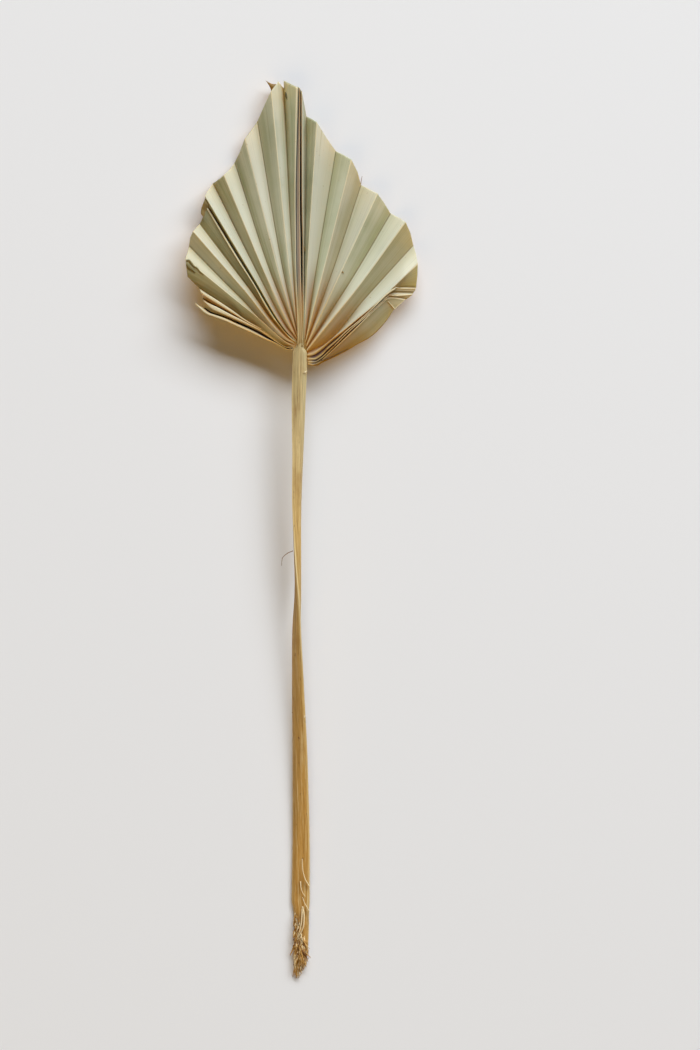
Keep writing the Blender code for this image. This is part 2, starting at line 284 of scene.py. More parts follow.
def leaf_material():
    made, tree, shader = start_material("dried_leaf")
    ridge, valley, along, rim, vein = (number_of(tree, label) for label in MEASURES)
    faded, gold, back, deep, plum, straw, under, dense = (number_of(tree, label) for label in SHARES)
    veins_at = Wire.node(tree, "ShaderNodeCombineXYZ", None, {"X": vein, "Y": along})
    fine = noise(tree, stretched(tree, veins_at, (1.0, 0.012, 1.0)), 1.0, 2.0, 0.6)
    broad = noise(tree, stretched(tree, veins_at, (0.22, 0.006, 1.0)), 1.0, 1.0)
    place = Wire.node(tree, "ShaderNodeTexCoord", None, None, "Object")
    patches = noise(tree, place, 42.0, 3.0, 0.55)
    specks = noise(tree, place, 900.0, 1.0)

    # Pale against grey green: the panel's own faded colour, plus painted light on panels that face the lamp
    pale = (faded + (patches - 0.5) * 0.7 + (broad - 0.5) * 0.6).between(0.0, 1.0)
    base = blend(tree, pale, colour(146, 168, 126), colour(240, 247, 224))
    low = valley / (valley + ridge + 0.01)
    folded = along.between(46.0, 12.0)
    purple = blend(tree, fine.between(0.4, 0.6), colour(150, 142, 136), colour(212, 206, 192))
    stretched_skin = blend(tree, folded, colour(244, 242, 206), colour(238, 220, 158))
    deep_fold_shade = blend(tree, along.between(48.0, 20.0), colour(24, 20, 12), colour(58, 20, 10))
    straw_grain = blend(tree, fine.between(0.3, 0.7), colour(170, 142, 84), colour(212, 190, 136))
    browned = blend(tree, patches.between(0.4, 0.62), colour(86, 62, 20), colour(150, 112, 44))
    layers = (
        (fine.between(0.35, 0.75) * 0.34, (238, 244, 210)),  # pale veins
        (fine.between(0.5, 0.22) * 0.36, (140, 146, 92)),  # and dark ones between them
        # painted shade: olive, deepening towards each valley
        (low.between(0.8, 0.0) * 0.32, (132, 138, 66)),  # olive towards a valley
        # gold: partly the root's own colour, partly painted shade on panels turned from the lamp
        (gold * 0.85, (140, 132, 50)),
        # painted shade in each valley: a dark olive line
        (valley.between(0.62, 0.14) * 0.78, (92, 78, 24)),
        (plum * 0.9, purple),
        # painted shade on the valley side near the root, browner there
        (folded * low.between(0.75, 0.15) * 0.75, (104, 84, 18)),  # browner towards the root
        (along.between(15.0, 4.0) * 0.5, (178, 122, 52)),
        # painted shade in the tight creases near the root: dark maroon
        (along.between(24.0, 8.0) * valley.between(1.0, 0.15) * 0.9, (72, 28, 8)),
        (ridge.between(0.62, 0.18) * 0.88, stretched_skin),
        # painted shade inside the deep folds and the slit: near black
        (deep * valley.between(0.75, 0.25), deep_fold_shade),
        (straw * 0.9, straw_grain),
        (rim.between(0.6, 0.1) * 0.3, (206, 204, 152)),
        (specks.between(0.74, 0.8) * 0.5, (120, 84, 40)),
        (back * 0.9, browned),
        (under * 0.8, (176, 144, 62)),
    )
    base = coats(tree, base, layers)
    feed(tree, shader, "Base Color", base)
    feed(tree, shader, "Roughness", 0.48 + (patches - 0.5) * 0.2 - fine * 0.06)

    relief = fine * 0.7 + broad * 0.5
    bump = {"Strength": 0.4, "Distance": 0.0002, "Height": relief}
    feed(tree, shader, "Normal", Wire.node(tree, "ShaderNodeBump", None, bump))
    shader.inputs["Specular IOR Level"].default_value = 0.4

    through = tree.nodes.new("ShaderNodeBsdfTranslucent")
    through.inputs["Color"].default_value = (*colour(246, 209, 64), 1.0)
    mixed = tree.nodes.new("ShaderNodeMixShader")
    open_skin = (1.0 - deep * valley.between(0.9, 0.3)) * (1.0 - dense * 0.6)
    tree.links.new(((0.43 + folded * 0.24 + under * 0.4) * open_skin).socket, mixed.inputs[0])
    tree.links.new(shader.outputs[0], mixed.inputs[1])
    tree.links.new(through.outputs[0], mixed.inputs[2])
    tree.links.new(mixed.outputs[0], tree.nodes["Material Output"].inputs["Surface"])
    print("dried_leaf has", len(tree.nodes), "nodes")
    return made


LEAF = leaf_material()

# %% [markdown]
# ## The folds
#
# Seen from above, the whole fan is a list of folds. Each is a ridge or a valley, with the direction it
# leaves the root, and the direction and distance at which the scissors cut it off. Between two folds lies
# one flat panel, and its own cut may reach further than the straight line between them. Directions are in
# degrees from +X, distances in millimetres from the hub, which is where the folds would meet.

# %% Fold table
HUB = np.array([0.0, 92.0])
HUB_HEIGHT = 14.0
INNER = 40.0

# Direction at INNER, direction and reach at the rim, direction and reach of the cut in the panel after it.
# Ridges and valleys take turns, so each line below is a ridge and the valley that follows it.
FOLDS = np.array((
    (160.0, 158.7, 56.8, 159.1, 54.0), (159.0, 159.4, 51.8, 157.4, 52.4),
    (157.8, 155.8, 53.4, 155.3, 53.9), (156.4, 154.7, 54.5, 153.6, 55.4),
    (154.4, 152.2, 56.8, 151.5, 57.6), (152.8, 150.9, 58.4, 149.2, 66.2),
    (146.8, 143.3, 72.2, 141.0, 73.4), (142.0, 138.5, 75.2, 136.0, 77.4),
    (136.2, 133.7, 78.4, 131.8, 79.0), (132.6, 129.9, 79.7, 127.6, 81.2),
    (128.0, 124.6, 83.3, 124.3, 83.0), (127.0, 124.0, 83.6, 123.6, 86.0),
    (125.6, 123.0, 89.0, 120.6, 91.2), (121.6, 118.6, 93.2, 117.5, 93.0),
    (117.1, 114.5, 93.8, 112.2, 95.6), (113.2, 110.1, 98.3, 107.8, 102.2),
    (107.5, 105.4, 107.6, 103.2, 111.0), (104.0, 101.2, 115.0, 99.0, 121.2),
    (99.4, 96.9, 128.0, 95.1, 132.8), (96.4, 94.05, 129.6, 93.95, 133.2),
    (93.9, 91.1, 129.3, 90.9, 129.5), (93.1, 90.7, 129.5, 90.57, 129.0),
    (92.2, 90.44, 128.7, 90.35, 128.4), (91.2, 90.25, 128.2, 90.18, 127.8),
    (89.9, 90.05, 127.4, 89.5, 121.6), (87.8, 88.9, 115.2, 87.6, 113.6),
    (85.4, 86.2, 111.7, 83.2, 104.6), (79.4, 80.2, 99.3, 77.8, 97.8),
    (73.9, 75.1, 96.1, 72.2, 91.2), (67.7, 70.0, 86.2, 66.8, 85.4),
    (61.9, 63.6, 84.9, 60.2, 82.6), (53.2, 56.4, 80.2, 53.2, 80.5),
    (46.1, 50.1, 80.7, 46.2, 78.4), (37.1, 42.3, 75.3, 39.0, 73.3),
    (29.9, 35.4, 71.0, 31.2, 67.4), (28.9, 27.1, 64.1, 26.9, 63.8),
    (27.6, 26.7, 63.6, 26.0, 62.8), (26.6, 25.6, 61.8, 25.2, 61.2),
    (25.6, 24.8, 60.6, 24.4, 58.8), (24.0, 24.2, 57.4, 24.1, 56.8),
    (22.4, 24.1, 56.3, 23.0, 52.6), (16.6, 21.4, 49.1, 0.0, 0.0),
))
IS_RIDGE = np.arange(len(FOLDS)) % 2 == 0
RIM_DIRECTIONS = FOLDS[:, 1]
# The slit's black is painted shade inside the deep fold.
SLIT = 23  # the deep black fold up the middle of the fan
BUNDLE = (20, 25)  # the first and the last of the folds pressed together up the middle
CORNER = 35  # the first of the folds that end in the crumpled corner

# Plan points of the folds that bend: the lowest ones on each side, and the bundle up the middle
BENT = {
    0: ((-2.8, 91.0), (-4.3, 89.9), (-6.5, 89.7), (-9.6, 91.0), (-13.4, 93.1), (-18.4, 95.2), (-25.6, 98.7),
        (-31.7, 101.5), (-37.9, 104.4), (-43.2, 106.3), (-47.0, 107.6), (-49.7, 109.7)),
    2: ((-2.8, 91.4), (-5.5, 90.4), (-8.8, 91.4), (-12.6, 93.7), (-20.3, 99.0), (-27.5, 102.7),
        (-35.6, 106.5), (-41.7, 109.4), (-45.0, 111.1)),
    4: ((-2.7, 91.8), (-5.5, 90.9), (-8.6, 92.0), (-12.5, 94.5), (-20.2, 99.9), (-27.2, 103.7),
        (-35.6, 109.2), (-43.2, 114.0), (-49.3, 117.8)),
    6: ((-2.6, 92.1), (-4.4, 91.7), (-6.1, 92.4), (-10.7, 95.8), (-20.2, 104.3), (-31.7, 113.6)),
    34: ((2.6, 87.1), (5.4, 87.6), (8.2, 89.4), (12.2, 92.6), (15.8, 95.6), (21.4, 99.9), (26.9, 104.5),
         (33.3, 109.7), (38.9, 114.5), (46.4, 121.7)),
    36: ((2.6, 85.2), (6.2, 85.0), (9.4, 86.8), (12.2, 89.8), (16.6, 93.7), (22.9, 99.7), (26.9, 102.9),
         (34.9, 110.1), (42.9, 118.1), (46.6, 120.6)),
    38: ((2.9, 83.6), (6.2, 83.6), (9.0, 85.0), (16.2, 91.7), (23.7, 99.2), (34.1, 108.4), (43.2, 117.0),
         (45.5, 117.6)),
    40: ((3.0, 82.8), (5.2, 82.2), (7.2, 82.8), (10.0, 84.5), (16.6, 90.6), (24.6, 98.2), (33.6, 107.2),
         (42.7, 115.6), (45.0, 116.0)),
    41: ((3.2, 82.2), (7.0, 81.8), (11.0, 83.8), (17.0, 86.5), (22.9, 89.7), (26.1, 91.7), (34.9, 96.9),
         (42.1, 104.5)),
}
# Along the bundle up the middle all bends lie at the same Y, so only X differs
BUNDLE_Y = (91.2, 107.5, 117.0, 127.0, 141.0, 165.0)
BUNDLE_X = {
    20: (-1.9, -2.2, -2.6, -3.0, -3.2, -3.5),
    21: (-1.45, -1.75, -2.1, -2.5, -2.7, -2.9),
    22: (-0.8, -0.4, -0.45, -0.65, -0.8, -1.2),
    23: (-0.35, 0.15, 0.1, -0.05, -0.2, -0.65),
    24: (0.2, 0.65, 0.6, 0.6, 0.65, 0.2),
    25: (0.7, 1.05, 1.15, 1.15, 1.4, 1.9),
    26: (1.4, 1.8, 2.0, 2.5, 3.4, 4.9),
}
for number, bends in BUNDLE_X.items():
    root_y = {25: 91.4, 26: 95.5}.get(number, BUNDLE_Y[0])
    BENT[number] = tuple(zip(bends, (root_y,) + BUNDLE_Y[1:]))
HALFWAY = (1, 3, 35, 37, 39)  # valleys hidden between two ridges that nearly touch

# Where the other folds leave the stalk, and how they curve away from it, as offsets from the hub
ROOTS = np.array((
    (4, -2.7, -0.3), (6, -2.6, 0.2), (8, -2.6, 0.5), (12, -2.4, 1.7), (16, -2.2, 4.6), (19, -2.1, 9.0),
    (27, 1.75, 3.0), (30, 2.2, -0.6), (33, 2.5, -3.8),
))
ELBOWS = {
    5: (-5.7, -0.75), 7: (-6.4, 1.2), 8: (-7.6, 3.1), 9: (-8.3, 4.9), 10: (-8.7, 6.6), 11: (-8.8, 7.4),
    12: (-8.8, 8.4), 13: (-7.9, 9.6), 14: (-6.85, 10.9), 15: (-5.8, 12.4), 33: (11.7, 0.9),
}

# Direction, the angle that a panel spans when pressed flat, height of the leaf's middle surface at the rim
FORM = np.array((
    (10.0, 7.0, 8.5), (35.0, 8.3, 6.0), (50.0, 8.3, 3.9), (69.8, 8.0, 4.8), (86.0, 6.6, 5.6),
    (90.5, 4.4, 6.0), (101.0, 5.8, 4.8), (110.1, 6.3, 3.05), (125.0, 6.3, 7.0), (140.0, 6.6, 12.4),
    (165.0, 5.4, 17.0),
))
print(len(FOLDS), "folds,", int(IS_RIDGE.sum()), "of them ridges")

# %% [markdown]
# ## Laying the folds out
#
# Each fold runs from the stalk's shoulder or neck to the rim in a nearly straight line. Its height is the
# height of the leaf's middle surface, plus half a pleat for a ridge and minus half for a valley. How deep a
# pleat is follows from the leaf itself: a panel keeps its width, so where the folds crowd together seen
# from above, the pleat must be deep. The bundle up the middle is pressed flat where it joins the stalk.

# %% Fold lines
ROWS = 130
SHARE = np.linspace(0.0, 1.0, ROWS)
LATE = SHARE**6  # what changes along a fold only near the rim
LEAST_DEPTH, MOST_DEPTH = 0.35, 3.4  # of a pleat, as shares of the plan gap between its folds
SMOOTHED = 17  # rows that the depth is averaged over
# Folds that nearly touch share one length, so that their rows lie side by side until close to the rim
CROWDED = {**dict.fromkeys(range(6), 54.0), **dict.fromkeys(range(CORNER, 41), 60.0)}


def polar(direction, reach):
    """The plan point at a direction and a distance from the hub."""
    angle = np.radians(direction)
    return HUB + reach * np.array([np.cos(angle), np.sin(angle)])


def fold_line(index):
    """ROWS plan points along a fold: a smooth curve by distance through root, bends and rim."""
    inner, rim, reach, _, _ = FOLDS[index]
    if index in BENT:
        start = list(BENT[index])
    else:
        start = [HUB + [np.interp(index, ROOTS[:, 0], ROOTS[:, axis]) for axis in (1, 2)]]
        if index in ELBOWS:
            start.append(HUB + ELBOWS[index])
        start.append(polar(inner, INNER))
    through = np.array(start + [polar(rim, reach)])
    length = path_lengths(through)[-1]
    common = CROWDED.get(index, length)
    return smooth_path(through, SHARE * common + (length - common) * LATE)


def fold_lines():
    """All folds; a halfway valley is the mean of its two ridges, drawn to its own rim point as share^6."""
    lines = np.array([fold_line(index) for index in range(len(FOLDS))])
    for index in HALFWAY:
        rim = lines[index, -1].copy()
        mean = (lines[index - 1] + lines[index + 1]) / 2
        lines[index] = mean + (rim - mean[-1]) * LATE[:, None]
    return lines


def fold_heights(lines):
    """Middle height plus or minus half a pleat, whose depth is the root of panel width^2 - plan gap^2."""
    run = np.linalg.norm(lines - lines[:, :1], axis=2) + 1.0
    index = np.arange(len(FOLDS))[:, None]
    gaps = np.linalg.norm(np.diff(lines, axis=0), axis=2)
    gap = np.minimum(np.concatenate([gaps, gaps[-1:]]), np.concatenate([gaps[:1], gaps]))
    spans = np.interp(RIM_DIRECTIONS, FORM[:, 0], FORM[:, 1])
    free = np.sqrt(np.maximum((np.radians(spans)[:, None] * run) ** 2 - gap**2, 0.0))
    depth = np.clip(free, LEAST_DEPTH * gap, MOST_DEPTH * gap)
    padded = np.pad(depth, ((0, 0), (SMOOTHED // 2, SMOOTHED // 2)), mode="edge")
    depth = np.array([np.convolve(row, np.ones(SMOOTHED) / SMOOTHED, "valid") for row in padded])
    depth[SLIT] = np.minimum(run[SLIT] * 0.16, 9.0) * fade(20.0, 34.0, run[SLIT]) + 0.3
    depth[SLIT - 2] = np.minimum(depth[SLIT - 2], 0.7)
    crumpled = (index >= CORNER) * fade(46.0, 52.0, run)
    depth *= 1 - 0.88 * crumpled
    bundle = (index >= BUNDLE[0]) & (index <= BUNDLE[1])
    pressed = bundle * fade(30.0, 8.0, run)
    depth = depth * (1 - pressed) + np.minimum(depth, 0.4) * pressed
    rims = np.interp(RIM_DIRECTIONS, FORM[:, 0], FORM[:, 2])[:, None]
    middle = HUB_HEIGHT + (rims - HUB_HEIGHT) * SHARE
    middle = middle + bundle * (2.15 * fade(34.0, 3.0, run) - 0.9 * fade(4.5, 1.0, run))
    return middle + np.where(IS_RIDGE, 0.5, -0.5)[:, None] * depth


LINES = fold_lines()
HEIGHTS = fold_heights(LINES)
lengths = np.linalg.norm(LINES[:, -1] - LINES[:, 0], axis=1)
print("folds run", lengths.min().round(1), "to", lengths.max().round(1), "mm")

# %% [markdown]
# ## The leaf blade
#
# Between two folds a panel is a straight mix of the two, with three departures that make it a leaf and not
# folded card: it bows a little across its width, its surface waves slowly from root to rim, and its cut end
# follows the scissors. Points crowd towards the folds, so that a fold turns within half a millimetre.

# %% Columns of the blade
BLADE_THICKNESS = 0.34
ACROSS = np.array([0.0, 0.05, 0.14, 0.3, 0.5, 0.7, 0.86, 0.95])
FLOOR_GAP = 0.02  # the least height of anything over the table
HIGHEST = 17.9  # of the leaf

# For each column of points: the panel it lies in, its place across it, and the folds left and right of it
LAST_PANEL = len(FOLDS) - 2
PANEL = np.append(np.repeat(np.arange(LAST_PANEL + 1), len(ACROSS)), LAST_PANEL)
T = np.append(np.tile(ACROSS, LAST_PANEL + 1), 1.0)[:, None]
LEFT, RIGHT = LINES[PANEL], LINES[PANEL + 1]
LOW, HIGH = HEIGHTS[PANEL], HEIGHTS[PANEL + 1]
GAP = np.linalg.norm(RIGHT - LEFT, axis=2)
PANEL_WIDTH = np.hypot(GAP, HIGH - LOW)
draw = np.random.default_rng(11)
BOW = draw.uniform(-0.03, 0.05, len(FOLDS))
TINT = draw.uniform(-0.08, 0.08, len(FOLDS))
print("the blade has", len(PANEL), "columns of", ROWS, "points")

# %% Skins of the blade


def blade_skins():
    """Upper and lower skin (column, row, xyz): a mix of two folds, then the cut, the bow and the waves."""
    plan = LEFT * (1 - T[..., None]) + RIGHT * T[..., None]
    tips = np.array([polar(*fold[3:]) for fold in FOLDS[:-1]])
    push = tips - (LINES[:-1, -1] + LINES[1:, -1]) / 2
    tent = 1 - np.abs(2 * T - 1)
    plan += push[PANEL][:, None, :] * tent[..., None] * LATE[None, :, None]

    height = LOW * (1 - T) + HIGH * T
    height += BOW[PANEL][:, None] * PANEL_WIDTH * 4 * T * (1 - T)
    run = np.linalg.norm(plan - HUB, axis=2)
    sway = np.array([waves(np.linspace(0, 130, ROWS), 40 + p, 45.0) for p in range(len(FOLDS))])
    height += 0.22 * sway[PANEL] * np.sin(np.pi * T) * fade(8.0, 40.0, run) * fade(0.5, 3.0, GAP)

    upright = BLADE_THICKNESS * np.hypot(1.0, (HIGH - LOW) / np.maximum(GAP, 0.05))
    upright = np.minimum(upright, np.minimum(1.1, 0.12 + 0.45 * GAP))
    top = np.dstack([plan, np.clip(height + upright / 2, 0.5, HIGHEST)])
    bottom = top.copy()
    bottom[..., 2] = np.maximum(top[..., 2] - upright, FLOOR_GAP)
    return top, bottom


TOP, BOTTOM = blade_skins()

# %% [markdown]
# Four small tables say how each panel looks: how pale, how golden and how brown it is, and how little light
# it lets through. The paleness and the gold hold painted light and shade as well as the panel's own colour:
# panels that face the lamp are paler, those turned away darker and more golden. The tables name a panel by
# the fold on its left. A fifth says how deep a valley is and how dark the painted shade in it is.

# %% How each panel looks, with painted light and shade
VEINS_IN_PANEL = 13.0
# Paleness: the panel's own faded colour, plus painted light, higher on panels that face the lamp
PALE = {
    0: 0.8, 1: 0.6, 2: 1.0, 3: 0.6, 4: 0.9, 5: 0.25, 6: 0.8, 7: 0.5, 8: 1.0, 9: 0.3, 10: 0.4, 11: 0.35,
    12: 0.85, 13: 0.4, 14: 1.0, 15: 0.5, 16: 0.9, 17: 0.6, 18: 0.75, 19: 0.35, 20: 0.6, 23: 0.7, 24: 0.75,
    25: 0.5, 26: 0.85, 27: 0.6, 28: 0.6, 29: 0.95, 30: 0.62, 31: 1.0, 32: 0.35, 33: 0.95, 34: 0.2, 40: 0.35,
}
BROWNED = {5: 0.42, 9: 0.24}
# Gold: partly the panel's own colour, partly painted shade on panels turned from the lamp
GOLDEN = {
    5: 0.15, 9: 0.15, 11: 0.15, 13: 0.1, 26: 0.1, 27: 0.14, 28: 0.3, 29: 0.06, 30: 0.25, 32: 0.12, 34: 0.2,
    35: 0.3, 40: 0.25,
}
DENSE = {
    5: 0.6, 7: 0.7, 9: 0.5, 10: 1.0, 11: 1.0, 13: 0.6, 15: 0.6, 17: 0.8, 19: 0.3, 25: 1.0, 27: 0.9, 29: 0.5,
    30: 0.4, 31: 0.6, 33: 0.4,
}
# How deep each valley is, and how dark the painted shade in it
DEEP_FOLD_SHADE = {1: 1.0, 3: 0.9, 11: 0.8, 21: 0.8, 23: 1.0, 35: 0.9, 37: 0.9, 39: 0.8}
WARM_TOWARDS = (15, 35, 60, 90, 115, 140, 165)  # directions, and how golden the root is in each
WARM = (0.2, 0.06, 0.05, 0.05, 0.15, 0.3, 0.1)


def looked_up(table, where, default=0.0):
    """One value for each column, from a table that names some panels or folds."""
    return np.array([table.get(index, default) for index in range(len(FOLDS))])[where][:, None]


def blade_numbers(plan):
    """The numbers that the shader reads at each point: distances in millimetres, and shares from 0 to 1."""
    run = np.linalg.norm(plan - HUB, axis=2)
    left_is_ridge = IS_RIDGE[PANEL]
    valley = np.where(left_is_ridge, PANEL + 1, PANEL)
    left_is_ridge, in_slit = left_is_ridge[:, None], (valley == SLIT)[:, None]
    narrow = np.isin(valley, HALFWAY)[:, None]
    seen_width = np.where(in_slit, GAP * 1.35, PANEL_WIDTH * (1 - 0.35 * narrow))
    to_left, to_right = T * seen_width, (1 - T) * seen_width
    opened = (valley >= CORNER)[:, None] * fade(43.0, 49.0, run)
    # Painted shade in the deep valleys, the slit and the lower split
    deep = looked_up(DEEP_FOLD_SHADE, valley) * fade(0.0, 0.06, SHARE) * (1 - 0.8 * opened)
    lower_split = (valley == BUNDLE[1])[:, None] * fade(54.0, 44.0, run)
    closed_slit = in_slit * fade(36.0, 24.0, run)
    bundle = ((PANEL >= BUNDLE[0]) & (PANEL < BUNDLE[1]))[:, None]
    direction = np.degrees(np.arctan2(plan[..., 1] - HUB[1], plan[..., 0] - HUB[0]))
    gold = np.interp(direction, WARM_TOWARDS, WARM) * fade(85.0, 25.0, run) + 0.18 * fade(40.0, 15.0, run)
    return {
        "ridge_mm": np.where(left_is_ridge, to_left, to_right),
        "valley_mm": np.where(left_is_ridge, to_right, to_left),
        "along_mm": run + 60.0 * bundle,
        "rim_mm": (1 - SHARE) * run,
        "vein": (PANEL[:, None] * 5.3 + T) * VEINS_IN_PANEL,
        "deep": np.maximum(deep * (1 - closed_slit), lower_split),
        "plum": ((PANEL == 21) | (PANEL == 22))[:, None] * fade(14.0, 40.0, run),
        "straw": bundle * fade(38.0, 12.0, run),
        "dense": looked_up(DENSE, PANEL),
        "back": looked_up(BROWNED, PANEL),
        "faded": looked_up(PALE, PANEL, 0.55) + TINT[PANEL][:, None],
        "gold": gold * (1 - bundle) + looked_up(GOLDEN, PANEL),
    }


# %% Leaf blade


def flat_numbers(numbers, shape):
    """Each number spread over a whole grid of points and laid out as a list."""
    return {name: np.broadcast_to(values, shape).ravel() for name, values in numbers.items()}


def closed_sheets(sheets):
    """Points and faces of closed sheets, each given as its upper and its lower skin."""
    points, faces, start = [], [], 0
    for top, bottom in sheets:
        skins = np.concatenate([top.reshape(-1, 3), bottom.reshape(-1, 3)])
        faces += (outwards(skins, sheet_faces(*top.shape[:2])) + start).tolist()
        points.append(skins)
        start += len(skins)
    return np.concatenate(points), faces


points, faces = closed_sheets([(TOP, BOTTOM)])
numbers = flat_numbers(blade_numbers(TOP[..., :2]), GAP.shape)
numbers = {name: np.tile(values, 2) for name, values in numbers.items()}
numbers["under"] = np.repeat([0.0, 1.0], GAP.size)  # tells the lower skin from the upper
blade = piece_of("leaf_blade", points, faces, LEAF, numbers)
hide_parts("leaf_fan")
print("leaf box in mm", points.min(axis=0).round(2), points.max(axis=0).round(2))

# %% [markdown]
# ## Edges, creases and a split
#
# Some of what the eye finds first is narrower than a panel: pleats seen on edge at the lower left, a split
# down the left half whose pale lip stands up, and the creases of the crumpled corner. Each is a ribbon, a
# thin sheet along a path, and a path is lifted onto the blade by the highest point of it nearby.

# %% Ribbons


def eased(points, steps):
    """A smooth path of the given number of steps through a few points, measured by distance."""
    points = np.array(points, float)
    return smooth_path(points, np.linspace(0.0, path_lengths(points)[-1], steps))


def on_leaf(plan, reach=0.7):
    """The blade's height under each plan point: the highest of its upper skin within reach, smoothed."""
    skin = TOP.reshape(-1, 3)
    near = np.linalg.norm(plan[:, None, :] - skin[None, :, :2], axis=2) < reach
    height = np.where(near, skin[None, :, 2], -1.0).max(axis=1)
    found = height >= 0
    steps = np.arange(len(plan))
    height = np.interp(steps, steps[found], height[found])
    return np.convolve(np.pad(height, 3, mode="edge"), np.ones(7) / 7, "valid")


def ribbon_arrays(route, widths, lift=0.3, steps=70, thickness=0.5):
    """Upper and lower skins of a strip along a plan route: centre plus and minus half its width sideways."""
    plan = eased(route, steps)
    places = np.linspace(0.0, 1.0, len(widths))
    half = smooth_through(places, widths, np.linspace(0.0, 1.0, steps))[:, None] / 2
    way = np.gradient(plan, axis=0)
    way /= np.linalg.norm(way, axis=1, keepdims=True)
    side = np.stack([-way[:, 1], way[:, 0]], axis=1)
    height = np.minimum(on_leaf(plan) + lift, HIGHEST - 0.05)
    section = ((-1.0, 0.14), (-0.5, 0.0), (0.5, 0.0), (1.0, 0.14))  # share of the half width, drop
    top = np.array([np.column_stack([plan + side * half * share, height - drop]) for share, drop in section])
    return top, top - np.array([0.0, 0.0, thickness])


def leaf_scraps(name, sheets, veins, **numbers):
    """Closed sheets as one piece of leaf, whose shader numbers are alike all over it, but for its veins."""
    points, faces = closed_sheets(sheets)
    values = dict.fromkeys(MEASURES + SHARES, 0.0)
    values.update({"valley_mm": 9.0, "rim_mm": 9.0, "along_mm": np.linalg.norm(points[:, :2] - HUB, axis=1)})
    values.update(numbers)
    values["vein"] = points[:, 0] * veins
    return piece_of(name, points, faces, LEAF, flat_numbers(values, len(points)))


def ribbons(name, rows, **numbers):
    """Several ribbons as one piece, each from its route and its widths; neighbours differ in height."""
    sheets = [ribbon_arrays(*row, lift=0.32 + 0.1 * (place % 3)) for place, row in enumerate(rows)]
    # The ribbons take the palest panel colour, which includes painted light, and the cream of a ridge.
    return leaf_scraps(name, sheets, 2.0, **{"ridge_mm": 0.2, "faded": 1.0, **numbers})


LOWEST = BENT[0][1:] + ((-52.9, 112.6),)
WEDGE = BENT[2][1:] + ((-48.7, 113.8),)
UPPER = BENT[4][4:] + ((-50.2, 118.6),)
SPLIT = ((-2.9, 93.3), (-5.6, 95.3), (-8.6, 98.7), (-11.6, 102.4), (-14.8, 106.4), (-19.1, 113.5),
         (-22.2, 119.3), (-25.6, 125.0), (-32.5, 135.8), (-47.3, 160.6))
pleat_edges = (
    (LOWEST, (0.25, 0.4, 0.6, 0.8, 0.95, 1.1, 1.1, 0.3)),
    (WEDGE, (0.25, 0.35, 0.4, 0.7, 1.1, 1.5, 2.1, 0.2)),
    (UPPER, (0.35, 0.65, 0.9, 1.3, 1.5, 0.5)),
)
ribbons("pleat_edges", pleat_edges)
ribbons("split_lip", ((SPLIT, (0.25, 0.3, 0.4, 0.55, 0.7, 0.75, 0.7)),))

# %% [markdown]
# Where the lowest wide panel meets the rim, its edge has torn and curled. The lip of the tear is brown and
# waves a little, and a darker brown strip lies just below it.

# %% Torn rim
TORN = ((-57.2, 134.2), (-56.2, 134.1), (-55.0, 132.9), (-53.6, 131.2), (-52.2, 130.4), (-50.4, 128.4),
        (-48.8, 127.2))
BELOW_TORN = ((-57.0, 132.2), (-56.2, 131.2), (-54.6, 129.8), (-53.0, 128.2))
torn = ((TORN, (0.9, 1.0, 0.8, 0.6, 0.3)), (BELOW_TORN, (1.2, 1.8, 1.2, 0.4)))
ribbons("torn_rim", torn, ridge_mm=3.0, back=0.8, faded=0.0, gold=0.3, dense=1.0)

# %% Creases of the crumpled corner
CREASES = (
    (((46.4, 121.0), (51.0, 120.6), (56.8, 120.6)), (0.5, 0.55, 0.5)),
    (((43.4, 117.3), (47.0, 116.9), (51.0, 117.2), (55.0, 117.5)), (0.3, 0.35, 0.45, 0.4)),
    (((43.0, 114.2), (44.6, 112.4), (46.2, 110.6)), (0.35, 0.45, 0.5)),
    (((46.1, 110.2), (48.6, 112.6), (51.4, 115.0)), (0.5, 0.45, 0.35)),
)
CORNER_EDGES = (
    (BENT[36][3:], (0.45, 0.5, 0.5, 0.65, 0.7)),
    (BENT[38][3:-1], (0.35, 0.4, 0.45)),
    (BENT[40][3:-1], (0.3, 0.4, 0.4)),
)
ribbons("corner_creases", CREASES + CORNER_EDGES, faded=0.85)
# Painted shadow: a dark line along the blade's under edge, and painted shade in a crumple near the tip.
UNDER_EDGE = ((9.0, 84.2), (13.0, 85.4), (17.0, 87.3), (20.0, 88.9), (23.2, 90.5))
CRUMPLE = ((-8.3, 219.0), (-8.0, 217.4), (-7.4, 215.2))
SPECKS = (((20.2, 128.9), (20.8, 128.2)), ((1.4, 141.4), (1.45, 140.4), (1.6, 139.2)))
painted_shadow_marks = ((UNDER_EDGE, (0.3, 0.5, 0.4, 0.2)), (CRUMPLE, (0.5, 1.1, 0.3)))
ribbons("painted_shadow_marks", painted_shadow_marks, ridge_mm=3.0, valley_mm=0.2, faded=0.0, deep=0.55)
ribbons("brown_specks", tuple((route, (0.4, 0.4)) for route in SPECKS), ridge_mm=3.0, back=1.0)

# %% [markdown]
# ## The curled corner at the tip
#
# Behind the notch at the tip a corner of the blade has folded over and dried brown, so that its back shows.
# It is one small curved sheet: a triangle bent along its length.

# %% Curled tip corner


